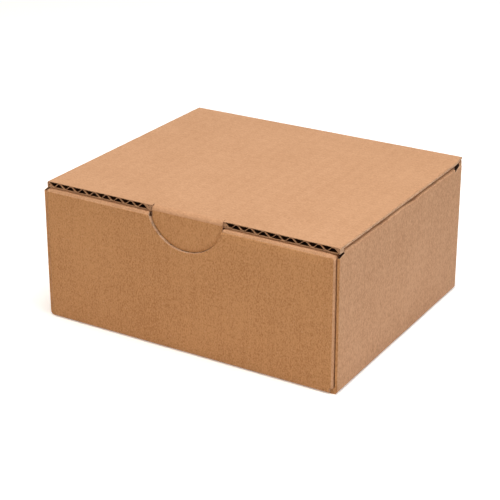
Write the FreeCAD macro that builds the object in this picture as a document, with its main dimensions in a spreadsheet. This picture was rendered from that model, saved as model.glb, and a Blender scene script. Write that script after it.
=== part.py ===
import FreeCAD, Part
import os
import re
import Sketcher

# Closed mailer box folded from one die-cut sheet of corrugated board, in millimetres.
# Frame: X along the front from left to right, Y from front to back, Z up, origin under the middle of the box.
# The tray is the folded base. The lid is the panel that opens on the crease at the top of the back wall.

SIZES = {
    # whole box
    "box_width": "150",
    "box_depth": "128.5",
    "box_height": "66.4",
    # corrugated board
    "board": "2.8",
    "layer_gap": "0.3",
    "liner": "0.3",
    "medium": "0.25",
    "flute_pitch": "6.5",
    "flute_reach": "3.2",
    # folds
    "base_fold_radius": "1.8",
    "side_fold_radius": "2",
    "front_fold_radius": "2.5",
    "corner_fold_radius": "1.2",
    "fold_bulge": "1.4",
    "corner_groove": "0.5",
    "lid_fold_radius": "2.5",
    # side walls
    "side_rise": "1.5",
    "side_setback_front": "1.25",
    "side_setback_back": "4.75",
    "roll_end_back": "12.25",
    "corner_drop": "1.4",
    "corner_clearance": "0.4",
    "corner_run": "4",
    "relief_drop": "3.4",
    "relief_run": "7",
    "flap_length": "42",
    # locks at the foot of the rolled walls
    "lock_length": "20",
    "lock_spacing": "56",
    "lock_tip_gap": "0.4",
    "front_lock_length": "30",
    # lid
    "lid_setback_left": "1.8",
    "lid_setback_right": "0.4",
    "lid_gap": "0.3",
    "lid_front_gap": "1.5",
    "lid_edge_radius": "0.8",
    "hinge_relief": "0.15",
    # notch and closing tab
    "notch_radius": "19.5",
    "notch_shift": "1.2",
    "notch_rise": "1.6",
    "tab_half_width": "17.7",
    "tab_shift": "1.6",
    "tab_recess": "1.2",
    "tab_edge_gap": "0.3",
    "tab_lean": "0.1",
    "tab_fold_radius": "2.2",
    "tab_back_gap": "0.35",
    "tab_slit": "0.25",
}

# Places worked out from the sizes, right side and front first
HALF_WIDTH = "box_width / 2"
FRONT = "-box_depth / 2"
BACK = "box_depth / 2"
WALL_TOP = "(box_height - board - lid_gap)"
STRIP_UNDER = f"({WALL_TOP} - board)"
SIDE_TOP = f"({WALL_TOP} + side_rise)"
SIDE_STRIP_UNDER = f"({SIDE_TOP} - board)"
FOOT = "(board + layer_gap)"
OUTER_IN = f"({HALF_WIDTH} - board)"
FLAP_OUT = f"({OUTER_IN} - layer_gap)"
FLAP_IN = f"({FLAP_OUT} - board)"
FOLD_END = f"({FLAP_OUT} + fold_bulge)"
INNER_OUT = f"({FLAP_IN} - layer_gap)"
INNER_IN = f"({INNER_OUT} - board)"
FRONT_IN = f"({FRONT} + board)"
BACK_IN = f"({BACK} - board)"
TAB_FACE = f"({FRONT} + tab_recess)"
TAB_BACK = f"({TAB_FACE} + board)"
FRONT_ROLL_FACE = f"({TAB_BACK} + tab_back_gap)"
FRONT_ROLL_BACK = f"({FRONT_ROLL_FACE} + board)"
SIDE_FRONT = f"({FRONT} + side_setback_front)"
SIDE_BACK = f"({BACK} - side_setback_back)"
CORNER_END = f"({SIDE_FRONT} + corner_run)"
ROLL_FRONT = f"({FRONT_ROLL_BACK} + layer_gap)"
ROLL_BACK = f"({BACK} - roll_end_back)"
INNER_BACK = f"({BACK_IN} - layer_gap)"

# The crease of the lid: its outer arc, the middle of that arc where it turns, and the inner corner
HALF_TURN = "sqrt(0.5)"
ARC_Y = f"({BACK} - lid_fold_radius)"
ARC_Z = "(box_height - lid_fold_radius)"
HINGE_Y = f"({ARC_Y} + lid_fold_radius * {HALF_TURN})"
HINGE_Z = f"({ARC_Z} + lid_fold_radius * {HALF_TURN})"
LID_UNDER = "(box_height - board)"
LID_FRONT = f"({FRONT} + lid_front_gap)"
LID_LEFT = f"(lid_setback_left - {HALF_WIDTH})"
LID_RIGHT = f"({HALF_WIDTH} - lid_setback_right)"

NOTCH_Z = "(box_height + notch_rise)"
TAB_LEFT = "(tab_shift - tab_half_width)"
TAB_RIGHT = "(tab_shift + tab_half_width)"
TAB_ARC_X = "(notch_shift + tab_lean)"
TAB_RADIUS = "(notch_radius - tab_edge_gap)"
TAB_FOLD_Z = "(box_height - tab_fold_radius)"
SLIT_BACK = f"({TAB_FACE} + tab_fold_radius + layer_gap)"

# A flute's hollow: half widths at the liner and at its shoulder and the bend's radius, in pitches, where the
# shoulder lies between the tip and the liner, and the board left at a row's end, in pitches
MOUTH_SHARE = 0.4
SHOULDER_SHARE = 0.146
BEND_SHARE = 0.194
SHOULDER_LEVEL = 0.22
ROW_MARGIN = 0.42

LINE = None
NEAR = 1e-3


def make_sheet(doc):
    """Put every driving size in a spreadsheet, one row each."""
    sheet = doc.addObject("Spreadsheet::Sheet", "sizes")
    for row, (name, value) in enumerate(SIZES.items(), start=1):
        sheet.set(f"A{row}", name)
        sheet.set(f"B{row}", value)
        sheet.setAlias(f"B{row}", name)
    doc.recompute()
    return sheet


def bound(text):
    """Turn the names in an expression into references to the sheet."""
    return re.sub(r"[a-z]+(?:_[a-z]+)*", lambda m: f"sizes.{m[0]}" if m[0] in SIZES else m[0], text)


def value_of(sheet, text):
    """Work out an expression as a plain number."""
    return float(sheet.evalExpression(bound(text)))


def origin_item(body, role):
    """One of the body's own origin planes or axes."""
    return next(f for f in body.Origin.OriginFeatures if f.Role == role)


def start_sketch(body, name, plane, offset="0"):
    """Add a sketch on one of the body's own planes, moved along the plane's normal."""
    sketch = body.newObject("Sketcher::SketchObject", name)
    sketch.AttachmentSupport = [(origin_item(body, plane), "")]
    sketch.MapMode = "FlatFace"
    sketch.setExpression("AttachmentOffset.Base.z", bound(offset))
    return sketch


def arc_between(start, end, radius):
    """Arc from start to end, the shorter way: a positive radius turns left, a negative one right."""
    start, end = (FreeCAD.Vector(*p, 0) for p in (start, end))
    chord = end - start
    middle = (start + end) * 0.5
    side = FreeCAD.Vector(-chord.y, chord.x, 0).normalize()
    reach = max(radius * radius - chord.Length ** 2 / 4, 0) ** 0.5
    centre = middle + side * (reach if radius > 0 else -reach)
    circle = Part.Circle(centre, FreeCAD.Vector(0, 0, 1), abs(radius))
    first, last = (circle.parameter(p) for p in ((start, end) if radius > 0 else (end, start)))
    return Part.ArcOfCircle(circle, first, last)


def draw_outline(sheet, sketch, corners):
    """Draw a closed outline of corners (u, v, radius): the radius is that of the arc to the next one, or LINE."""
    places = [(value_of(sheet, u), value_of(sheet, v)) for u, v, _ in corners]
    ends = []
    for k, (_, _, radius) in enumerate(corners):
        start, end = places[k], places[(k + 1) % len(places)]
        if radius is LINE:
            curve = Part.LineSegment(FreeCAD.Vector(*start, 0), FreeCAD.Vector(*end, 0))
            ends.append((sketch.addGeometry(curve), 1, 2))
            continue
        bend = value_of(sheet, radius)
        index = sketch.addGeometry(arc_between(start, end, bend))
        ends.append((index, 1, 2) if bend > 0 else (index, 2, 1))
        rule = sketch.addConstraint(Sketcher.Constraint("Radius", index, abs(bend)))
        sketch.setExpression(f"Constraints[{rule}]", bound(f"abs({radius})"))
    for k, (index, first, last) in enumerate(ends):
        after = ends[(k + 1) % len(ends)]
        sketch.addConstraint(Sketcher.Constraint("Coincident", index, last, after[0], after[1]))
        for kind, text, place in zip(("DistanceX", "DistanceY"), corners[k][:2], places[k]):
            rule = sketch.addConstraint(Sketcher.Constraint(kind, index, first, place))
            sketch.setExpression(f"Constraints[{rule}]", bound(text))


def rectangle(left, right, low, high):
    return [(left, low, LINE), (right, low, LINE), (right, high, LINE), (left, high, LINE)]


def pad(body, sheet, name, plane, corners, start, end):
    """Pad an outline from one level to another along the plane's normal, which on the XZ plane is -Y."""
    if plane == "XZ_Plane":
        start, end = f"-({end})", f"-({start})"
    sketch = start_sketch(body, f"{name}_outline", plane, start)
    draw_outline(sheet, sketch, corners)
    feature = body.newObject("PartDesign::Pad", name)
    feature.Profile = sketch
    feature.setExpression("Length", bound(f"({end}) - ({start})"))
    return finish_feature(body, feature, 1)


def pocket(body, sheet, name, plane, corners, start, end):
    """Cut an outline away between two levels along the plane's normal, which on the XZ plane is -Y."""
    if plane == "XZ_Plane":
        start, end = f"-({end})", f"-({start})"
    sketch = start_sketch(body, f"{name}_outline", plane, start)
    draw_outline(sheet, sketch, corners)
    feature = body.newObject("PartDesign::Pocket", name)
    feature.Profile = sketch
    feature.Reversed = True
    feature.setExpression("Length", bound(f"({end}) - ({start})"))
    return finish_feature(body, feature, -1)


def finish_feature(body, feature, sign):
    """Recompute and make sure that the feature added (1) or took away (-1) board."""
    before = feature.BaseFeature.Shape.Volume if feature.BaseFeature else 0
    body.Tip = feature
    body.Document.recompute()
    if (feature.Shape.Volume - before) * sign <= 0:
        raise RuntimeError(f"{feature.Name} changed nothing")
    for item in feature.OutList:
        item.Visibility = False
    return feature


def mirror_sides(body, name, originals):
    """Repeat the right side's features on the left side."""
    feature = body.newObject("PartDesign::Mirrored", name)
    feature.Originals = originals
    feature.MirrorPlane = (origin_item(body, "YZ_Plane"), [""])
    body.Tip = feature
    body.Document.recompute()
    return feature


def round_edges(body, name, radius, wanted):
    """Round those edges of the body so far whose bounding box is wanted."""
    base = body.Tip
    names = [f"Edge{k}" for k, edge in enumerate(base.Shape.Edges, start=1) if wanted(edge.BoundBox)]
    feature = body.newObject("PartDesign::Fillet", name)
    feature.Base = (base, names)
    feature.setExpression("Radius", bound(radius))
    body.Tip = feature
    body.Document.recompute()
    return feature


def same(a, b):
    return abs(a - b) < NEAR


def new_body(doc, name):
    body = doc.addObject("PartDesign::Body", name)
    body.Label = name
    body.Placement = FreeCAD.Placement()
    return body


def front_and_back_walls(body, sheet):
    """Bottom, rolled front wall and back wall up to the lid's crease, as one strip seen from the right."""
    corners = [
        (f"{FRONT} + base_fold_radius", "0", LINE),
        (f"{BACK} - base_fold_radius", "0", "base_fold_radius"),
        (BACK, "base_fold_radius", LINE),
        (BACK, ARC_Z, "lid_fold_radius"),
        (HINGE_Y, HINGE_Z, LINE),
        (BACK_IN, f"{LID_UNDER} - hinge_relief", LINE),
        (BACK_IN, "board", LINE),
        (FRONT_IN, "board", LINE),
        (FRONT_IN, STRIP_UNDER, LINE),
        (FRONT_ROLL_FACE, STRIP_UNDER, LINE),
        (FRONT_ROLL_FACE, FOOT, LINE),
        (FRONT_ROLL_BACK, FOOT, LINE),
        (FRONT_ROLL_BACK, f"{WALL_TOP} - side_fold_radius", "side_fold_radius"),
        (f"{FRONT_ROLL_BACK} - side_fold_radius", WALL_TOP, LINE),
        (f"{FRONT} + front_fold_radius", WALL_TOP, "front_fold_radius"),
        (FRONT, f"{WALL_TOP} - front_fold_radius", LINE),
        (FRONT, "base_fold_radius", "base_fold_radius"),
    ]
    pad(body, sheet, "front_and_back_walls", "YZ_Plane", corners, f"-{FLAP_OUT}", FLAP_OUT)


def corner_folds(body, sheet):
    """Bulging, rounded upright folds where the front and back walls turn into their flaps."""
    front_fold = [
        (FRONT, "board", LINE),
        (FRONT_IN, "board", LINE),
        (FRONT_IN, WALL_TOP, LINE),
        (f"{FRONT} + front_fold_radius", WALL_TOP, "front_fold_radius"),
        (FRONT, f"{WALL_TOP} - front_fold_radius", LINE),
    ]
    back_fold = [
        (BACK_IN, "board", LINE),
        (BACK, "board", LINE),
        (BACK, ARC_Z, "lid_fold_radius"),
        (HINGE_Y, HINGE_Z, LINE),
        (BACK_IN, f"{LID_UNDER} - hinge_relief", LINE),
    ]
    folds = [
        pad(body, sheet, "front_fold", "YZ_Plane", front_fold, FLAP_OUT, FOLD_END),
        pad(body, sheet, "back_fold", "YZ_Plane", back_fold, FLAP_OUT, FOLD_END),
    ]
    mirror_sides(body, "left_folds", folds)
    end = value_of(sheet, FOLD_END)
    front, back = value_of(sheet, FRONT), value_of(sheet, BACK)

    def is_upright_fold(box):
        at_end = same(abs(box.XMin), end) and same(box.XMin, box.XMax)
        on_face = same(box.YMin, box.YMax) and (same(box.YMin, front) or same(box.YMin, back))
        return at_end and on_face and box.ZLength > NEAR

    round_edges(body, "corner_folds", "corner_fold_radius", is_upright_fold)


def trim_front_roll(body, sheet):
    """Stop the front wall's inner panel short of the flaps."""
    corners = rectangle(INNER_OUT, HALF_WIDTH, TAB_BACK, ROLL_FRONT)
    cut = pocket(body, sheet, "front_roll_trim", "XY_Plane", corners, FOOT, STRIP_UNDER)
    mirror_sides(body, "front_roll_trims", [cut])


def outer_side_panels(body, sheet):
    """Bottom and both outer side panels as one strip seen from the front."""
    right = [
        (f"{HALF_WIDTH} - base_fold_radius", "0", "base_fold_radius"),
        (HALF_WIDTH, "base_fold_radius", LINE),
        (HALF_WIDTH, f"{SIDE_TOP} - side_fold_radius", "side_fold_radius"),
        (f"{HALF_WIDTH} - side_fold_radius", SIDE_TOP, LINE),
        (OUTER_IN, SIDE_TOP, LINE),
        (OUTER_IN, "board", LINE),
    ]
    left = [
        (f"-{OUTER_IN}", "board", LINE),
        (f"-{OUTER_IN}", SIDE_TOP, LINE),
        (f"side_fold_radius - {HALF_WIDTH}", SIDE_TOP, "side_fold_radius"),
        (f"-{HALF_WIDTH}", f"{SIDE_TOP} - side_fold_radius", LINE),
        (f"-{HALF_WIDTH}", "base_fold_radius", "base_fold_radius"),
        (f"base_fold_radius - {HALF_WIDTH}", "0", LINE),
    ]
    pad(body, sheet, "outer_side_panels", "XZ_Plane", right + left, SIDE_FRONT, SIDE_BACK)


def cut_side_corners(body, sheet):
    """Slant the outer side panels' top corners, free of the roll's strip, and crush their front edge's inside."""
    front = [
        (SIDE_FRONT, f"{WALL_TOP} - corner_drop", LINE),
        (CORNER_END, f"{WALL_TOP} - corner_clearance", LINE),
        (CORNER_END, f"{SIDE_TOP} + board", LINE),
        (SIDE_FRONT, f"{SIDE_TOP} + board", LINE),
    ]
    back = [
        (ROLL_BACK, f"{SIDE_TOP} - relief_drop", LINE),
        (f"{ROLL_BACK} + relief_run", SIDE_TOP, LINE),
        (f"{ROLL_BACK} + relief_run", f"{SIDE_TOP} + board", LINE),
        (ROLL_BACK, f"{SIDE_TOP} + board", LINE),
    ]
    groove = rectangle(OUTER_IN, f"{FOLD_END} + corner_groove", SIDE_FRONT, f"{FRONT_IN} + layer_gap")
    cuts = [
        pocket(body, sheet, "front_corner_cut", "YZ_Plane", front, OUTER_IN, HALF_WIDTH),
        pocket(body, sheet, "back_corner_cut", "YZ_Plane", back, OUTER_IN, HALF_WIDTH),
        pocket(body, sheet, "corner_groove_cut", "XY_Plane", groove, "board", SIDE_TOP),
    ]
    mirror_sides(body, "corner_cuts", cuts)


def rolled_sides(body, sheet):
    """Top strip and inner panel of the side walls, and the flaps that lie between the layers."""
    strip_and_panel = [
        (INNER_IN, FOOT, LINE),
        (INNER_OUT, FOOT, LINE),
        (INNER_OUT, SIDE_STRIP_UNDER, LINE),
        (OUTER_IN, SIDE_STRIP_UNDER, LINE),
        (OUTER_IN, SIDE_TOP, LINE),
        (f"{INNER_IN} + side_fold_radius", SIDE_TOP, "side_fold_radius"),
        (INNER_IN, f"{SIDE_TOP} - side_fold_radius", LINE),
    ]
    inner_end = rectangle(INNER_IN, INNER_OUT, FOOT, f"{SIDE_TOP} - relief_drop")
    flap = rectangle(FLAP_IN, FLAP_OUT, FOOT, f"{STRIP_UNDER} - layer_gap")
    pieces = [
        pad(body, sheet, "side_roll", "XZ_Plane", strip_and_panel, ROLL_FRONT, ROLL_BACK),
        pad(body, sheet, "inner_panel_end", "XZ_Plane", inner_end, ROLL_BACK, INNER_BACK),
        pad(body, sheet, "front_flap", "XZ_Plane", flap, FRONT_IN, f"{FRONT} + flap_length"),
        pad(body, sheet, "back_flap", "XZ_Plane", flap, f"{BACK} - flap_length", BACK_IN),
    ]
    mirror_sides(body, "left_roll_and_flaps", pieces)


def lock_pair(body, sheet, name, left, right, front, back):
    """One slot through the bottom and the lock that fills it from above."""
    slot_left, slot_right = f"{left} - layer_gap", f"{right} + layer_gap"
    slot = rectangle(slot_left, slot_right, f"{front} - layer_gap", f"{back} + layer_gap")
    lock = rectangle(left, right, front, back)
    return [
        pocket(body, sheet, f"{name}_slot", "XY_Plane", slot, "0", "board"),
        pad(body, sheet, f"{name}_lock", "XY_Plane", lock, "lock_tip_gap", FOOT),
    ]


def locks(body, sheet):
    """Two locks at the foot of each inner side panel and one at the front wall's inner panel."""
    pairs = []
    for name, centre in (("near", "-lock_spacing / 2"), ("far", "lock_spacing / 2")):
        ends = f"({centre} - lock_length / 2)", f"({centre} + lock_length / 2)"
        pairs += lock_pair(body, sheet, name, INNER_IN, INNER_OUT, *ends)
    mirror_sides(body, "left_locks", pairs)
    ends = "(-front_lock_length / 2)", "(front_lock_length / 2)"
    lock_pair(body, sheet, "front", *ends, FRONT_ROLL_FACE, FRONT_ROLL_BACK)


def notch(body, sheet):
    """Half-round notch in the front wall's outer panel and in the strip behind it."""
    corners = [
        ("notch_shift - notch_radius", NOTCH_Z, "notch_radius"),
        ("notch_shift", f"{NOTCH_Z} - notch_radius", "notch_radius"),
        ("notch_shift + notch_radius", NOTCH_Z, LINE),
    ]
    pocket(body, sheet, "notch", "XZ_Plane", corners, FRONT, FRONT_ROLL_FACE)


def make_tray(doc, sheet):
    body = new_body(doc, "tray")
    front_and_back_walls(body, sheet)
    trim_front_roll(body, sheet)
    outer_side_panels(body, sheet)
    cut_side_corners(body, sheet)
    corner_folds(body, sheet)
    rolled_sides(body, sheet)
    locks(body, sheet)
    notch(body, sheet)
    return body


def lid_panel(body, sheet):
    """Flat panel up to the middle of its crease on the back wall, seen from the right."""
    corners = [
        (LID_FRONT, LID_UNDER, LINE),
        (f"{BACK_IN} - hinge_relief", LID_UNDER, LINE),
        (HINGE_Y, HINGE_Z, "lid_fold_radius"),
        (ARC_Y, "box_height", LINE),
        (LID_FRONT, "box_height", LINE),
    ]
    pad(body, sheet, "lid_panel", "YZ_Plane", corners, LID_LEFT, LID_RIGHT)


def crushed_edges(body, sheet):
    """Thin the lid's side edges where they lie on the side rolls, and round the top of those edges."""
    low, high = f"{LID_UNDER} - layer_gap", f"{SIDE_TOP} + lid_gap"
    rest, ends = f"({INNER_IN} - layer_gap)", (f"{CORNER_END} - layer_gap", HINGE_Y)
    right = rectangle(rest, f"{LID_RIGHT} + layer_gap", *ends)
    left = rectangle(f"{LID_LEFT} - layer_gap", f"-{rest}", *ends)
    pocket(body, sheet, "right_rest", "XY_Plane", right, low, high)
    pocket(body, sheet, "left_rest", "XY_Plane", left, low, high)
    sides = value_of(sheet, LID_LEFT), value_of(sheet, LID_RIGHT)
    top = value_of(sheet, "box_height")

    def is_top_side_edge(box):
        at_side = same(box.XMin, box.XMax) and any(same(box.XMin, side) for side in sides)
        return at_side and same(box.ZMin, top) and same(box.ZMax, top)

    round_edges(body, "crushed_edges", "lid_edge_radius", is_top_side_edge)


def back_corner_taper(body, sheet):
    """Taper the lid's wider side towards the end of its crease."""
    outside = f"({LID_RIGHT} + layer_gap)"
    corners = [(outside, ROLL_BACK, LINE), (outside, BACK, LINE), (FOLD_END, BACK, LINE)]
    pocket(body, sheet, "back_corner_taper", "XY_Plane", corners, LID_UNDER, "box_height")


def flute_cell(middle, tip, liner_face, side):
    """Hollow between a liner and a bend of the medium: side is 1 under its liner, -1 over it."""
    shoulder = f"({tip} + ({liner_face} - {tip}) * {SHOULDER_LEVEL})"
    mouth = f"{side} * flute_pitch * {MOUTH_SHARE}"
    narrow = f"{side} * flute_pitch * {SHOULDER_SHARE}"
    return [
        (f"{middle} - {mouth}", liner_face, LINE),
        (f"{middle} - {narrow}", shoulder, f"flute_pitch * {BEND_SHARE}"),
        (f"{middle} + {narrow}", shoulder, LINE),
        (f"{middle} + {mouth}", liner_face, LINE),
    ]


def flute_row(body, sheet, name, start, run):
    """Row of open flutes in the lid's front edge, from start rightwards along run."""
    top_face = "(box_height - liner)"
    low_face = f"({LID_UNDER} + liner)"
    upper_tip = f"({low_face} + medium)"
    lower_tip = f"({top_face} - medium)"
    upper_middle = f"({start} + flute_pitch / 2)"
    lower_middle = f"({start} + flute_pitch)"
    end = f"{LID_FRONT} + flute_reach"
    cells = [
        pocket(body, sheet, f"{name}_upper_flute", "XZ_Plane",
               flute_cell(upper_middle, upper_tip, top_face, 1), LID_FRONT, end),
        pocket(body, sheet, f"{name}_lower_flute", "XZ_Plane",
               flute_cell(lower_middle, lower_tip, low_face, -1), LID_FRONT, end),
    ]
    row = body.newObject("PartDesign::LinearPattern", f"{name}_flutes")
    row.Originals = cells
    row.Direction = (origin_item(body, "X_Axis"), [""])
    count = f"floor(({run}) / flute_pitch - {ROW_MARGIN})"
    row.setExpression("Occurrences", bound(count))
    row.setExpression("Length", bound(f"flute_pitch * ({count} - 1)"))
    body.Tip = row
    body.Document.recompute()


def flutes(body, sheet):
    """Flute ends at the front edge, left and right of the closing tab."""
    left_end = f"({TAB_LEFT} - tab_slit)"
    right_start = f"({TAB_RIGHT} + tab_slit)"
    flute_row(body, sheet, "left", LID_LEFT, f"{left_end} - {LID_LEFT}")
    flute_row(body, sheet, "right", right_start, f"{LID_RIGHT} - {right_start}")


def closing_tab(body, sheet):
    """Tab bent down from the lid's front edge, freed by a slit on each side, with a round end."""
    slit = rectangle(f"{TAB_LEFT} - tab_slit", f"{TAB_RIGHT} + tab_slit", LID_FRONT, SLIT_BACK)
    pocket(body, sheet, "tab_slits", "XY_Plane", slit, LID_UNDER, "box_height")
    fold = [
        (SLIT_BACK, "box_height", LINE),
        (f"{TAB_FACE} + tab_fold_radius", "box_height", "tab_fold_radius"),
        (TAB_FACE, TAB_FOLD_Z, LINE),
        (TAB_FACE, f"{LID_UNDER} - layer_gap", LINE),
        (TAB_BACK, f"{LID_UNDER} - layer_gap", LINE),
        (TAB_BACK, LID_UNDER, LINE),
        (SLIT_BACK, LID_UNDER, LINE),
    ]
    pad(body, sheet, "tab_fold", "YZ_Plane", fold, TAB_LEFT, TAB_RIGHT)
    left_side = f"({NOTCH_Z} - sqrt({TAB_RADIUS} ^ 2 - ({TAB_LEFT} - {TAB_ARC_X}) ^ 2))"
    right_side = f"({NOTCH_Z} - sqrt({TAB_RADIUS} ^ 2 - ({TAB_RIGHT} - {TAB_ARC_X}) ^ 2))"
    face = [
        (TAB_LEFT, f"{LID_UNDER} - layer_gap", LINE),
        (TAB_LEFT, left_side, TAB_RADIUS),
        (TAB_ARC_X, f"{NOTCH_Z} - {TAB_RADIUS}", TAB_RADIUS),
        (TAB_RIGHT, right_side, LINE),
        (TAB_RIGHT, f"{LID_UNDER} - layer_gap", LINE),
    ]
    pad(body, sheet, "closing_tab", "XZ_Plane", face, TAB_FACE, TAB_BACK)


def make_lid(doc, sheet):
    body = new_body(doc, "lid")
    lid_panel(body, sheet)
    crushed_edges(body, sheet)
    back_corner_taper(body, sheet)
    flutes(body, sheet)
    closing_tab(body, sheet)
    return body


def check_document(doc, bodies):
    """Stop if an object failed or a sub-part's shape isn't one valid solid."""
    for item in doc.Objects:
        if {"Invalid", "Error"} & set(item.State):
            raise RuntimeError(f"{item.Name} failed: {item.State}")
    for body in bodies:
        shape = body.Shape
        if shape.isNull() or not shape.isValid() or len(shape.Solids) != 1:
            raise RuntimeError(f"{body.Label} isn't one valid solid")


def main():
    doc = FreeCAD.newDocument("closed_box")
    sheet = make_sheet(doc)
    bodies = [make_tray(doc, sheet), make_lid(doc, sheet)]
    doc.recompute()
    check_document(doc, bodies)
    os.makedirs("parts", exist_ok=True)
    for body in bodies:
        body.Shape.exportStep(f"parts/{body.Label}.step")
        box = body.Shape.BoundBox
        print(body.Label, round(body.Shape.Volume), len(body.Shape.Faces), box)


main()
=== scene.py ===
import math

import bpy
from mathutils import Matrix, Vector, noise


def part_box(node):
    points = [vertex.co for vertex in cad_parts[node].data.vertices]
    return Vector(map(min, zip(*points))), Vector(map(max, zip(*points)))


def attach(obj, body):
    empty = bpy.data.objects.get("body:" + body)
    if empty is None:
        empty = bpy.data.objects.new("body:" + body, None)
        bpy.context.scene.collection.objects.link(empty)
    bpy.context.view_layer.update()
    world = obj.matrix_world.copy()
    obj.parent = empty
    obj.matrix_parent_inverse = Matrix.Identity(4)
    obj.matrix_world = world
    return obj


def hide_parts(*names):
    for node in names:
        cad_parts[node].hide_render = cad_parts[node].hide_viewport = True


bl_info = {
    "name": "Corrugated mailer box",
    "version": (1, 0, 0),
    "blender": (4, 5, 0),
    "location": "View3D > Sidebar > Box",
    "description": "Kraft board box: folded tray, lid with open flutes, closing tab and a pale floor",
    "category": "Object",
}

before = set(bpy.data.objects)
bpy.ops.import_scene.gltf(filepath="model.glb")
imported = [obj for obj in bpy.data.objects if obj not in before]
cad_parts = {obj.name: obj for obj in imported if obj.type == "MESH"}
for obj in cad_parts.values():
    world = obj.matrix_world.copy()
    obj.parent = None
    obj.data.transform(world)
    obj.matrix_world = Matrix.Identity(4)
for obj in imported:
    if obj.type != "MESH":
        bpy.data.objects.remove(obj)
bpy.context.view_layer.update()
TRAY_LOW, TRAY_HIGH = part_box("tray")
LID_LOW, LID_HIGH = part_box("lid")

MM = 0.001
WHITE = (1.0, 1.0, 1.0)
BLACK = (0.0, 0.0, 0.0)
X, Y, Z = range(3)

# Shares of a face's normal along an axis: over the first the face looks along it, over the second it slants
# towards it, over the third it belongs to the lid's taper, and under the fourth it stands edge-on
FACING = 0.9
SLANTED = 0.6
TAPERED = 0.5
EDGE_ON = 0.1
# How near a face's middle lies to a place that it belongs to
FACE_REACH = 0.06 * MM
EDGE_REACH = 0.4 * MM
# How far from the lid's crease the board stays flatter
CREASE_REACH = 10 * MM
# Joining of the frame's mesh and smoothing of the dressed one
JOIN_REACH = 0.002 * MM
FLAT_ANGLE = math.radians(0.5)
SMOOTH_ANGLE = math.radians(32)

# Noise of the papers, in cells to the millimetre along and across the fibres
GRAIN = (0.45, 1.2)
FINE = (1.1, 1.9)
STREAK = (0.04, 0.7)
FLECK = (0.8, 1.6)
# Noise that is the same every way, in cells to the millimetre: in the papers, then at the cut edges
CLOUD = 0.28
MOTTLE = 0.03
RAGGED = 1.3
SECTION_FIBRE = 3.1
TORN_FIBRE = 1.1
CLUMP = 0.35
FLUTE_RAGGED = 1.9
# Spacing of the board's bows, and the share of the full bow that each one has
SIDE_BOW = 45 * MM, 1.0
FRONT_BOW = 50 * MM, 1.0
PANEL_BOW = 60 * MM, 0.8
CRUSH = 4 * MM, 0.5
# Spacing of the short and the long worn places on the side rolls
WEAR = (5 * MM, 17 * MM)

# Share of pale pulp in the liner, how glossy papers are and how rough the floor is
PALE_SHARE = 0.66
PAPER_GLOSS = 0.25
FLOOR_ROUGHNESS = 0.95

# Papers of the tray and of the lid, in the order of their materials
LINER, SIDE_LINER, FRONT_EDGE, SIDE_EDGE, STRIP_EDGE, TORN_EDGE, SHADED_FRONT_LINER = range(7)
LID_LINER, TAB_EDGE, TORN_LID_EDGE, OPEN_FLUTE, SHADED_TAB_LINER, FLUTE_EDGE = range(6)

# Places and widths of the soft lamps and the width of the floor, in metres
KEY_LAMP = (0.15, -0.1, 1.3), 0.9
SIDE_LAMP = (1.1, -0.15, 1.0), 0.6
FILL_LAMP = (-0.25, -1.1, 1.0), 0.6
FLOOR_WIDTH = 8


class BoxSizes(bpy.types.PropertyGroup):
    """Sizes of the board and of its folds."""

    board: bpy.props.FloatProperty(
        name="Board", description="Thickness of the corrugated board", default=2.8 * MM, unit="LENGTH")
    liner: bpy.props.FloatProperty(
        name="Liner", description="Thickness of each flat paper", default=0.3 * MM, unit="LENGTH")
    medium: bpy.props.FloatProperty(
        name="Medium", description="Thickness of the fluted paper", default=0.25 * MM, unit="LENGTH")
    pitch: bpy.props.FloatProperty(
        name="Flute pitch", description="From one flute to the next", default=6.5 * MM, unit="LENGTH")
    flute_reach: bpy.props.FloatProperty(
        name="Flute reach", description="How deep the open flutes go", default=3.2 * MM, unit="LENGTH")
    lid_gap: bpy.props.FloatProperty(
        name="Lid gap", description="Gap between the lid and the walls", default=0.3 * MM, unit="LENGTH")
    side_rise: bpy.props.FloatProperty(
        name="Side rise", description="Side rolls' height above the front's",
        default=1.5 * MM, unit="LENGTH")
    tab_recess: bpy.props.FloatProperty(
        name="Tab recess", description="Closing tab's depth behind the front",
        default=1.2 * MM, unit="LENGTH")
    lid_front_gap: bpy.props.FloatProperty(
        name="Lid front gap", description="Lid's edge behind the front wall",
        default=1.5 * MM, unit="LENGTH")
    fold_zone: bpy.props.FloatProperty(
        name="Fold zone", description="Depth of the front wall's rolled top",
        default=7.5 * MM, unit="LENGTH")
    notch_radius: bpy.props.FloatProperty(
        name="Notch radius", description="Radius of the front wall's notch",
        default=19.5 * MM, unit="LENGTH")
    notch_shift: bpy.props.FloatProperty(
        name="Notch shift", description="Notch's middle to the right of the box's",
        default=1.2 * MM, unit="LENGTH")
    notch_rise: bpy.props.FloatProperty(
        name="Notch rise", description="Notch's centre above the lid's top",
        default=1.6 * MM, unit="LENGTH")
    lock_tip: bpy.props.FloatProperty(
        name="Lock tip", description="Locks' height above the floor", default=0.4 * MM, unit="LENGTH")
    slice_step: bpy.props.FloatProperty(
        name="Slice step", description="Spacing of the cuts that let the board bow",
        default=4 * MM, unit="LENGTH")
    press: bpy.props.FloatProperty(
        name="Press", description="How far the side rolls' edges are worn down",
        default=0.85 * MM, unit="LENGTH")
    bow: bpy.props.FloatProperty(
        name="Bow", description="How far the board wanders from flat", default=0.35 * MM, unit="LENGTH")


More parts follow.
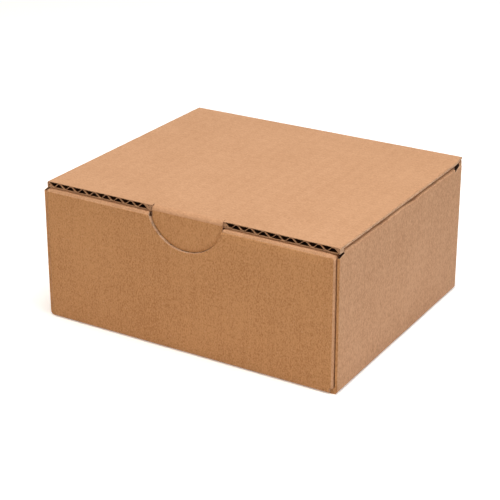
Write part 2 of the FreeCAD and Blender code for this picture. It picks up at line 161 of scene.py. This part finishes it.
class BoxColours(bpy.types.PropertyGroup):
    """Colours of the papers, of their painted shade and of the stage."""

    kraft: bpy.props.FloatVectorProperty(
        name="Kraft", description="Unbleached liner", subtype="COLOR", default=(0.60, 0.345, 0.20))
    kraft_dark: bpy.props.FloatVectorProperty(
        name="Dark kraft", description="Darker pulp in the liner", subtype="COLOR",
        default=(0.42, 0.215, 0.105))
    # Painted shade: a darker, warmer copy of the same kraft for the faces that look to the front, where less
    # light falls
    front_shade_tone: bpy.props.FloatVectorProperty(
        name="Front tone", description="Warmer tone of the front's liner", subtype="COLOR",
        default=(0.885, 0.80, 0.61))
    cut_paper: bpy.props.FloatVectorProperty(
        name="Cut paper", description="Torn fibres at a cut edge", subtype="COLOR",
        default=(0.70, 0.48, 0.32))
    # Painted shade: darker paper for the faces of the lid's cut front edge between the open flutes
    cut_shade: bpy.props.FloatVectorProperty(
        name="Cut shade", description="Pressed fibres between open flutes", subtype="COLOR",
        default=(0.34, 0.20, 0.12))
    hollow: bpy.props.FloatVectorProperty(
        name="Hollow", description="Shade deep in a flute", subtype="COLOR",
        default=(0.03, 0.012, 0.006))
    floor: bpy.props.FloatVectorProperty(
        name="Floor", description="Studio floor", subtype="COLOR", default=(0.93, 0.93, 0.93))
    floor_glow: bpy.props.FloatVectorProperty(
        name="Floor glow", description="Glow that whitens the floor", subtype="COLOR",
        default=(0.27, 0.27, 0.27))
    cool: bpy.props.FloatVectorProperty(
        name="Lamp white", description="Key and side lamps", subtype="COLOR",
        default=(1.0, 0.985, 0.965))
    warm: bpy.props.FloatVectorProperty(
        name="Warm lamp", description="Lamp in front", subtype="COLOR", default=(1.0, 0.68, 0.32))


class BoxView(bpy.types.PropertyGroup):
    """Where the camera stands and how strong the lamps are."""

    place: bpy.props.FloatVectorProperty(
        name="Camera", description="Camera's place", subtype="TRANSLATION",
        default=(0.3158, -0.5366, 0.2969))
    turn: bpy.props.FloatProperty(
        name="Turn", description="Camera's turn to the left",
        default=math.radians(30.86), subtype="ANGLE")
    tilt: bpy.props.FloatProperty(
        name="Tilt", description="Camera's tilt down", default=math.radians(21.57), subtype="ANGLE")
    roll: bpy.props.FloatProperty(
        name="Roll", description="Camera's roll", default=math.radians(0.04), subtype="ANGLE")
    shift: bpy.props.FloatProperty(
        name="Shift", description="Lens shift upwards, in picture heights", default=-0.1)
    lens: bpy.props.FloatProperty(
        name="Lens", description="Focal length in millimetres", default=104.15)
    sensor: bpy.props.FloatProperty(
        name="Sensor", description="Sensor's width in millimetres", default=36.0)
    key: bpy.props.FloatProperty(
        name="Key", description="Power of the soft lamp above", default=15.6, unit="POWER")
    side: bpy.props.FloatProperty(
        name="Side", description="Power of the soft lamp on the right", default=4.8, unit="POWER")
    fill: bpy.props.FloatProperty(
        name="Fill", description="Power of the warm lamp in front", default=4.2, unit="POWER")
    sky: bpy.props.FloatProperty(
        name="Sky", description="Light from all round", default=0.19)


class Value:
    """A socket of a material, on which Python's arithmetic adds Math nodes."""

    def __init__(self, finish, socket):
        self.finish = finish
        self.socket = socket

    def __add__(self, other):
        return self.finish.math("ADD", self, other)

    def __sub__(self, other):
        return self.finish.math("SUBTRACT", self, other)

    def __rsub__(self, other):
        return self.finish.math("SUBTRACT", other, self)

    def __mul__(self, other):
        return self.finish.math("MULTIPLY", self, other)

    __radd__ = __add__

    def __abs__(self):
        return self.finish.math("ABSOLUTE", self)


class Finish:
    """A material that is written as expressions on Value."""

    def __init__(self, name):
        self.material = bpy.data.materials.new(name)
        self.material.use_nodes = True
        self.tree = self.material.node_tree
        self.surface = self.tree.nodes["Principled BSDF"]

    def node(self, kind, settings, inputs, output=0):
        """Add a node of a kind: its settings first, then the values or links of its sockets."""
        made = self.tree.nodes.new(kind)
        for key, value in settings.items():
            setattr(made, key, value)
        for key, value in inputs.items():
            if isinstance(value, Value):
                self.tree.links.new(value.socket, made.inputs[key])
            else:
                made.inputs[key].default_value = value
        return Value(self, made.outputs[output])

    def math(self, operation, *inputs):
        return self.node("ShaderNodeMath", {"operation": operation}, dict(enumerate(inputs)))

    def clamp(self, value):
        return self.node("ShaderNodeClamp", {}, {0: value})

    def mix(self, factor, first, second):
        """Blend two colours."""
        inputs = {0: factor, 6: colour(first), 7: colour(second)}
        return self.node("ShaderNodeMix", {"data_type": "RGBA"}, inputs, output=2)

    def ramp(self, value, low, high):
        """0 below low, 1 above high and smooth between."""
        inputs = {"Value": value, "From Min": low, "From Max": high}
        return self.node("ShaderNodeMapRange", {"interpolation_type": "SMOOTHSTEP"}, inputs)

    def place(self):
        """Object coordinates in millimetres."""
        coordinates = self.node("ShaderNodeTexCoord", {}, {}, output="Object")
        inputs = {0: coordinates, "Scale": 1 / MM}
        return self.node("ShaderNodeVectorMath", {"operation": "SCALE"}, inputs)

    def axes(self, place):
        split = self.tree.nodes.new("ShaderNodeSeparateXYZ")
        self.tree.links.new(place.socket, split.inputs[0])
        return [Value(self, split.outputs[k]) for k in (X, Y, Z)]

    def noise(self, place, stretch, detail=2.0, rough=0.5):
        """Noise on the place, with stretch cells to the millimetre along each axis."""
        scaled = self.node("ShaderNodeVectorMath", {"operation": "MULTIPLY"}, {0: place, 1: stretch})
        inputs = {"Vector": scaled, "Scale": 1.0, "Detail": detail, "Roughness": rough}
        return self.node("ShaderNodeTexNoise", {"noise_dimensions": "3D"}, inputs) - 0.5

    def finish(self, base, roughness, height=None):
        """Join the last values to the surface. Height is in millimetres."""
        self.link(base, "Base Color")
        self.link(roughness, "Roughness")
        self.surface.inputs["Specular IOR Level"].default_value = PAPER_GLOSS
        if height is not None:
            bump = self.node("ShaderNodeBump", {}, {"Height": height, "Distance": MM, "Strength": 1.0})
            self.link(bump, "Normal")
        return self.material

    def link(self, value, name):
        self.tree.links.new(value.socket, self.surface.inputs[name])


def colour(value):
    return value if isinstance(value, Value) else (*value, 1.0)


def stretched(axis, along, across):
    """Cells to the millimetre on each axis: one figure along the fibres, the other across them."""
    return tuple(along if k == axis else across for k in (X, Y, Z))


def even(cells):
    """The same cells to the millimetre on every axis."""
    return (cells, cells, cells)


def flute_turn(sizes):
    """Angle that the flutes' wave turns by in a millimetre."""
    return 2 * math.pi * MM / sizes.pitch


def kraft_finish(name, colours, sizes, fibre_axis, flute_axis, contrast, tone=WHITE):
    """Unbleached liner: its fibres run along one axis, and its flutes show through as a bump and as faint
    painted light and shade, spaced along another.
    """
    f = Finish(name)
    pale, dark = ([a * b for a, b in zip(paper, tone)] for paper in (colours.kraft, colours.kraft_dark))
    place = f.place()
    axes = f.axes(place)
    grain = f.noise(place, stretched(fibre_axis, *GRAIN), 3.0, 0.65)
    streak = f.noise(place, stretched(fibre_axis, *STREAK), 2.0)
    cloud = f.noise(place, even(CLOUD), 4.0, 0.6)
    mottle = f.noise(place, even(MOTTLE), 2.0)
    fine = f.noise(place, stretched(fibre_axis, *FINE), 2.0)
    fleck = f.noise(place, stretched(fibre_axis, *FLECK), 1.0)
    flute = f.math("SINE", axes[flute_axis] * flute_turn(sizes))
    uneven = grain * 0.75 + fine * 1.1 + streak * 0.2 + cloud * 0.3 + mottle * 0.3
    # flute * 0.03 paints faint light and shade along the flutes, on top of their bump
    light = f.clamp(PALE_SHARE + uneven * contrast + flute * 0.03)
    base = f.mix(light, dark, pale)
    base = f.mix(f.ramp(fleck, 0.16, 0.26) * 0.35, base, dark)
    base = f.mix(f.ramp(fleck, -0.17, -0.27) * 0.2, base, colours.cut_paper)
    height = flute * 0.01 + grain * 0.035 + cloud * 0.02
    return f.finish(base, 0.8 + cloud * 0.2 + grain * 0.1, height)


def section_finish(name, colours, sizes, along, depth_of):
    """Cut edge of closed board: two liners and the wave of the medium between them, over hollows in painted
    shade.

    The wave runs along an axis. From the coordinates, depth_of gives the distance to the board's middle."""
    f = Finish(name)
    place = f.place()
    axes = f.axes(place)
    depth = depth_of(axes)
    ragged = f.noise(place, even(RAGGED), 2.0)
    swing = (sizes.board / 2 - sizes.liner - sizes.medium / 2) / MM
    wave = f.math("SINE", axes[along] * flute_turn(sizes) + ragged * 1.2) * swing
    half_medium = sizes.medium / MM * 0.6
    medium = 1 - f.ramp(abs(depth - wave) + ragged * 0.12, half_medium, half_medium + 0.15)
    liner_edge = (sizes.board / 2 - sizes.liner) / MM
    liner = f.ramp(abs(depth) + ragged * 0.1, liner_edge - 0.12, liner_edge)
    paper = f.math("MAXIMUM", medium, liner)
    fibre = f.noise(place, even(SECTION_FIBRE), 3.0, 0.6)
    tint = f.mix(f.clamp(0.6 + fibre * 1.4), colours.kraft, colours.cut_paper)
    # Painted shade: between the papers the face takes the dark hollow colour
    base = f.mix(paper, colours.hollow, tint)
    return f.finish(base, 0.9 + ragged * 0.1, paper * 0.25 + fibre * 0.08)


def torn_finish(name, colours, paper):
    """Edge cut along a flute or across one paper: torn fibres with darker specks."""
    f = Finish(name)
    place = f.place()
    fibre = f.noise(place, even(TORN_FIBRE), 3.0, 0.65)
    clump = f.noise(place, even(CLUMP), 2.0)
    base = f.mix(f.clamp(0.6 + fibre * 2.0 + clump), colours.kraft_dark, paper)
    base = f.mix(f.ramp(fibre, 0.03, 0.12) * 0.7, base, colours.hollow)
    return f.finish(base, 0.92 + clump * 0.1, fibre * 0.12)


def flute_finish(name, colours, mouth):
    """Inside of an open flute: kraft at its mouth, a place on the Y axis, and painted shade that darkens it
    behind the mouth.
    """
    f = Finish(name)
    place = f.place()
    axes = f.axes(place)
    ragged = f.noise(place, even(FLUTE_RAGGED), 2.0)
    # Painted shade: the deeper the face lies behind the flute's mouth, the nearer to the dark hollow colour
    shade = f.ramp(axes[Y] - mouth / MM + ragged * 0.5, 0.05, 1.1)
    return f.finish(f.mix(shade, colours.kraft, colours.hollow), 0.9 + ragged * 0.1)


def only(piece):
    """Select and activate one piece, in object mode."""
    if bpy.context.mode != "OBJECT":
        bpy.ops.object.mode_set(mode="OBJECT")
    bpy.ops.object.select_all(action="DESELECT")
    piece.select_set(True)
    bpy.context.view_layer.objects.active = piece


def sheet_from(node, name):
    """Copy a folded sheet of the frame as one joined mesh with large flat faces."""
    piece = bpy.data.objects.new(name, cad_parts[node].data.copy())
    bpy.context.scene.collection.objects.link(piece)
    piece.data.materials.clear()
    only(piece)
    bpy.ops.object.mode_set(mode="EDIT")
    bpy.ops.mesh.select_all(action="SELECT")
    bpy.ops.mesh.remove_doubles(threshold=JOIN_REACH)
    bpy.ops.mesh.dissolve_limited(angle_limit=FLAT_ANGLE)
    bpy.ops.object.mode_set(mode="OBJECT")
    return piece


def slice_across(piece, axis, low, high, step):
    """Cut the mesh at even steps along an axis, so that the board can bow."""
    only(piece)
    bpy.ops.object.mode_set(mode="EDIT")
    count = max(1, round((high - low) / step))
    normal = Vector(tuple(float(k == axis) for k in (X, Y, Z)))
    for k in range(1, count):
        bpy.ops.mesh.select_all(action="SELECT")
        bpy.ops.mesh.bisect(plane_co=normal * (low + (high - low) * k / count), plane_no=normal)
    bpy.ops.object.mode_set(mode="OBJECT")


def bow(piece, axis, full, wander, name):
    """Let the board wander a little along an axis, the same on both of its faces.

    It stays in its box, and it stays flat at the lid's crease."""
    spacing, share = wander
    low, high = piece_bounds(piece)
    flat = [vertex.co.copy() for vertex in piece.data.vertices]
    only(piece)
    texture = bpy.data.textures.new(f"{name}_texture", "CLOUDS")
    texture.noise_scale = spacing
    texture.noise_depth = 1
    modifier = piece.modifiers.new(name, "DISPLACE")
    modifier.texture = texture
    modifier.texture_coords = "LOCAL"
    modifier.direction = axis
    modifier.strength = full * share
    modifier.mid_level = 0.5
    bpy.ops.object.modifier_apply(modifier=name)
    bpy.data.textures.remove(texture)
    for vertex, start in zip(piece.data.vertices, flat):
        held = [min(max(part, least), most) for part, least, most in zip(vertex.co, low, high)]
        from_crease = math.hypot(start.y - LID_HIGH[Y], start.z - LID_HIGH[Z])
        vertex.co = start.lerp(Vector(held), min(1, (from_crease / CREASE_REACH) ** 2))


def piece_bounds(piece):
    """Lowest and highest corner of a piece's mesh."""
    columns = list(zip(*(vertex.co for vertex in piece.data.vertices)))
    return [min(column) for column in columns], [max(column) for column in columns]


def add_materials(piece, materials):
    for material in materials:
        piece.data.materials.append(material)


def smooth(piece):
    only(piece)
    bpy.ops.object.shade_smooth_by_angle(angle=SMOOTH_ANGLE)


def dress(piece, body, node):
    """Hang a finished piece on its body in place of the frame's plain node."""
    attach(piece, body)
    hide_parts(node)


def near(value, target, reach=FACE_REACH):
    return abs(value - target) < reach


class BOX_OT_tray(bpy.types.Operator):
    """Dress the folded base: bottom, rolled walls, flaps and locks"""

    bl_idname = "box.tray"
    bl_label = "Tray"

    def execute(self, context):
        sizes, colours = context.scene.box_sizes, context.scene.box_colours
        piece = sheet_from("tray", "tray_sheet")
        self.paint(piece, sizes, colours)
        for axis in (X, Y, Z):
            slice_across(piece, axis, TRAY_LOW[axis], TRAY_HIGH[axis], sizes.slice_step)
        bow(piece, "X", sizes.bow, SIDE_BOW, "side_bow")
        bow(piece, "Y", sizes.bow, FRONT_BOW, "front_bow")
        self.press_rolls(piece, sizes)
        smooth(piece)
        dress(piece, "tray", "tray")
        return {"FINISHED"}

    def press_rolls(self, piece, sizes):
        """Wear the outer edges of the side rolls down unevenly, where the lid rubs on them."""
        top = side_roll_top(sizes)
        inner, foot = TRAY_HIGH[X] - 1.2 * sizes.board, top - sizes.board
        short, long = WEAR
        for vertex in piece.data.vertices:
            x, y, z = vertex.co
            if abs(x) > inner and z > foot:
                places = Vector((0, y / short, 0)), Vector((0, y / long, 3))
                uneven = 1 + sum(noise.noise(place) for place in places)
                vertex.co.z -= sizes.press * uneven * (z - foot) / (top - foot)

    def paint(self, piece, sizes, colours):
        """Give each face its paper: liner, cut board or torn edge; the flat faces that look to the front get
        the liner with painted shade.
        """
        half = sizes.board / 2
        front = (TRAY_LOW[Y] + half) / MM
        side = (TRAY_HIGH[X] - half) / MM
        strip = (side_roll_top(sizes) - half) / MM
        materials = [
            kraft_finish("kraft_liner", colours, sizes, Z, X, 1.6),
            kraft_finish("kraft_side_liner", colours, sizes, Z, Z, 2.2),
            section_finish("front_board_edge", colours, sizes, X, lambda axes: axes[Y] - front),
            section_finish("side_board_edge", colours, sizes, Z, lambda axes: abs(axes[X]) - side),
            section_finish("strip_board_edge", colours, sizes, X, lambda axes: axes[Z] - strip),
            torn_finish("torn_edge", colours, colours.cut_paper),
            # The front's liner: the same kraft darkened and warmed with painted shade
            kraft_finish("front_liner_painted_shade", colours, sizes, Z, X, 2.6, colours.front_shade_tone),
        ]
        add_materials(piece, materials)
        for face in piece.data.polygons:
            face.material_index = self.paper_of(face, sizes)

    def paper_of(self, face, sizes):
        """Which paper a face shows, by its place and direction."""
        x, y, z = face.center
        out_x, out_y, out_z = (abs(part) for part in face.normal)
        front, fold_end = TRAY_LOW[Y], TRAY_LOW[Y] + sizes.fold_zone
        from_notch = math.hypot(x - sizes.notch_shift, z - LID_HIGH[Z] - sizes.notch_rise)
        in_notch = from_notch < sizes.notch_radius + EDGE_REACH
        if y < fold_end and out_y < EDGE_ON and in_notch:
            return TORN_EDGE if y < front + sizes.board else FRONT_EDGE
        side_top = side_roll_top(sizes)
        behind_fold = front + sizes.tab_recess < y < -front - sizes.board
        below_top = sizes.board < z < side_top - FACE_REACH
        on_side_board = abs(x) > TRAY_HIGH[X] - sizes.board - FACE_REACH
        if on_side_board and behind_fold and below_top and out_x < EDGE_ON:
            return SIDE_LINER if near(y, front, sizes.board) and out_y > FACING else SIDE_EDGE
        if out_y > FACING and z > side_top - sizes.board and fold_end - MM < y < -fold_end:
            return STRIP_EDGE
        if out_z > FACING and near(z, sizes.lock_tip):
            return TORN_EDGE
        # Painted shade: flat faces that look to the front get the darker, warmer kraft; the rounded folds
        # keep the plain liner and so look lit
        if near(y, front, sizes.board) and face.normal.y < -FACING:
            return SHADED_FRONT_LINER
        return SIDE_LINER if out_x > SLANTED else LINER


def lid_underside(sizes):
    """Height of the lid panel's underside."""
    return LID_HIGH[Z] - sizes.board


def side_roll_top(sizes):
    """Height of the side walls' rolled tops."""
    return lid_underside(sizes) - sizes.lid_gap + sizes.side_rise


class BOX_OT_lid(bpy.types.Operator):
    """Dress the lid: panel with open flutes at its front edge, crushed side edges and closing tab"""

    bl_idname = "box.lid"
    bl_label = "Lid"

    def execute(self, context):
        sizes, colours = context.scene.box_sizes, context.scene.box_colours
        piece = sheet_from("lid", "lid_sheet")
        self.paint(piece, sizes, colours)
        slice_across(piece, X, LID_LOW[X], LID_HIGH[X], sizes.slice_step / 3)
        slice_across(piece, Y, LID_LOW[Y], LID_HIGH[Y], sizes.slice_step)
        bow(piece, "Z", sizes.bow, PANEL_BOW, "panel_bow")
        bow(piece, "Z", sizes.bow, CRUSH, "crush")
        smooth(piece)
        dress(piece, "lid", "lid")
        return {"FINISHED"}

    def paint(self, piece, sizes, colours):
        """Give each face its paper: liner, cut board, torn edge or the inside of a flute in painted shade;
        the tab gets the liner with the front's painted shade.
        """
        tab = (TRAY_LOW[Y] + sizes.tab_recess + sizes.board / 2) / MM
        materials = [
            kraft_finish("kraft_lid_liner", colours, sizes, X, X, 1.2),
            section_finish("tab_board_edge", colours, sizes, X, lambda axes: axes[Y] - tab),
            torn_finish("torn_lid_edge", colours, colours.cut_paper),
            flute_finish("open_flute", colours, TRAY_LOW[Y] + sizes.lid_front_gap),
            # The tab's liner: the same kraft with the front's painted shade
            kraft_finish("tab_liner_painted_shade", colours, sizes, Z, X, 2.1, colours.front_shade_tone),
            # The lid's cut front edge between the open flutes, darkened with painted shade
            torn_finish("flute_edge", colours, colours.cut_shade),
        ]
        add_materials(piece, materials)
        for face in piece.data.polygons:
            face.material_index = self.paper_of(face, sizes)

    def paper_of(self, face, sizes):
        """Which paper a face shows, by its place and direction."""
        x, y, z = face.center
        out_x, out_y, _ = (abs(part) for part in face.normal)
        under, front = lid_underside(sizes), TRAY_LOW[Y] + sizes.lid_front_gap
        if near(y, front) and out_y > FACING:
            return FLUTE_EDGE
        # The tab's faces get the kraft with the front's painted shade; its edge-on faces are cut board
        if z < under - sizes.lid_gap:
            return TAB_EDGE if out_y < EDGE_ON else SHADED_TAB_LINER
        in_board = under + sizes.medium < z < LID_HIGH[Z] - sizes.medium
        in_flute = out_y < EDGE_ON or y > front + sizes.board
        if in_board and in_flute and y < front + sizes.flute_reach + MM:
            return OPEN_FLUTE if LID_LOW[X] + MM < x < LID_HIGH[X] - MM else TORN_LID_EDGE
        at_side = out_x > FACING and (near(x, LID_LOW[X]) or near(x, LID_HIGH[X]))
        at_taper = out_x > TAPERED and y > LID_HIGH[Y] - 3 * sizes.board
        return TORN_LID_EDGE if at_side or at_taper else LID_LINER


class BOX_OT_stage(bpy.types.Operator):
    """Set the floor, the lamps and the camera"""

    bl_idname = "box.stage"
    bl_label = "Stage"

    def execute(self, context):
        view, colours = context.scene.box_view, context.scene.box_colours
        self.floor(colours)
        self.world(view)
        self.lamp("key_lamp", view.key, *KEY_LAMP, colours.cool)
        self.lamp("side_lamp", view.side, *SIDE_LAMP, colours.cool)
        self.lamp("fill_lamp", view.fill, *FILL_LAMP, colours.warm)
        self.camera(context, view)
        context.scene.view_settings.view_transform = "Standard"
        return {"FINISHED"}

    def floor(self, colours):
        bpy.ops.mesh.primitive_plane_add(size=FLOOR_WIDTH)
        floor = bpy.context.object
        floor.name = "floor"
        f = Finish("floor_white")
        f.surface.inputs["Base Color"].default_value = colour(colours.floor)
        f.surface.inputs["Roughness"].default_value = FLOOR_ROUGHNESS
        f.surface.inputs["Specular IOR Level"].default_value = 0.0
        seen = f.node("ShaderNodeLightPath", {}, {}, output="Is Camera Ray")
        f.link(f.mix(seen, BLACK, colours.floor_glow), "Emission Color")
        f.surface.inputs["Emission Strength"].default_value = 1.0
        floor.data.materials.append(f.material)

    def world(self, view):
        world = bpy.data.worlds.new("studio")
        bpy.context.scene.world = world
        world.use_nodes = True
        tree = world.node_tree
        light_path = tree.nodes.new("ShaderNodeLightPath")
        strength = tree.nodes.new("ShaderNodeMapRange")
        strength.inputs["To Min"].default_value = view.sky
        strength.inputs["To Max"].default_value = 1.0
        tree.links.new(light_path.outputs["Is Camera Ray"], strength.inputs["Value"])
        tree.nodes["Background"].inputs["Color"].default_value = colour(WHITE)
        tree.links.new(strength.outputs[0], tree.nodes["Background"].inputs["Strength"])

    def lamp(self, name, power, place, size, tint):
        """Square soft lamp that looks at the middle of the box."""
        bpy.ops.object.light_add(type="AREA", location=place)
        lamp = bpy.context.object
        lamp.name = name
        lamp.data.energy = power
        lamp.data.size = size
        lamp.data.color = tint
        middle = Vector((0, 0, LID_HIGH[Z] / 2))
        lamp.rotation_euler = (middle - Vector(place)).to_track_quat("-Z", "Y").to_euler()

    def camera(self, context, view):
        bpy.ops.object.camera_add()
        camera = bpy.context.object
        camera.data.lens = view.lens
        camera.data.sensor_width = view.sensor
        camera.data.shift_y = view.shift
        turn = Matrix.Rotation(view.turn, 4, "Z") @ Matrix.Rotation(math.pi / 2 - view.tilt, 4, "X")
        camera.matrix_world = Matrix.Translation(view.place) @ turn @ Matrix.Rotation(view.roll, 4, "Z")
        context.scene.camera = camera


class BOX_PT_panel(bpy.types.Panel):
    """Lists the box's pieces"""

    bl_label = "Box"
    bl_space_type = "VIEW_3D"
    bl_region_type = "UI"
    bl_category = "Box"

    def draw(self, context):
        for kind in PIECES:
            self.layout.operator(kind.bl_idname)
        for group in (context.scene.box_sizes, context.scene.box_colours, context.scene.box_view):
            for name in group.__annotations__:
                self.layout.prop(group, name)


PIECES = (BOX_OT_tray, BOX_OT_lid, BOX_OT_stage)
GROUPS = {"box_sizes": BoxSizes, "box_colours": BoxColours, "box_view": BoxView}
CLASSES = (*GROUPS.values(), *PIECES, BOX_PT_panel)


def register():
    for kind in CLASSES:
        bpy.utils.register_class(kind)
    for name, group in GROUPS.items():
        setattr(bpy.types.Scene, name, bpy.props.PointerProperty(type=group))


def unregister():
    for name in GROUPS:
        delattr(bpy.types.Scene, name)
    for kind in reversed(CLASSES):
        bpy.utils.unregister_class(kind)


def main():
    register()
    bpy.ops.box.tray()
    bpy.ops.box.lid()
    bpy.ops.box.stage()


if __name__ == "__main__":
    main()
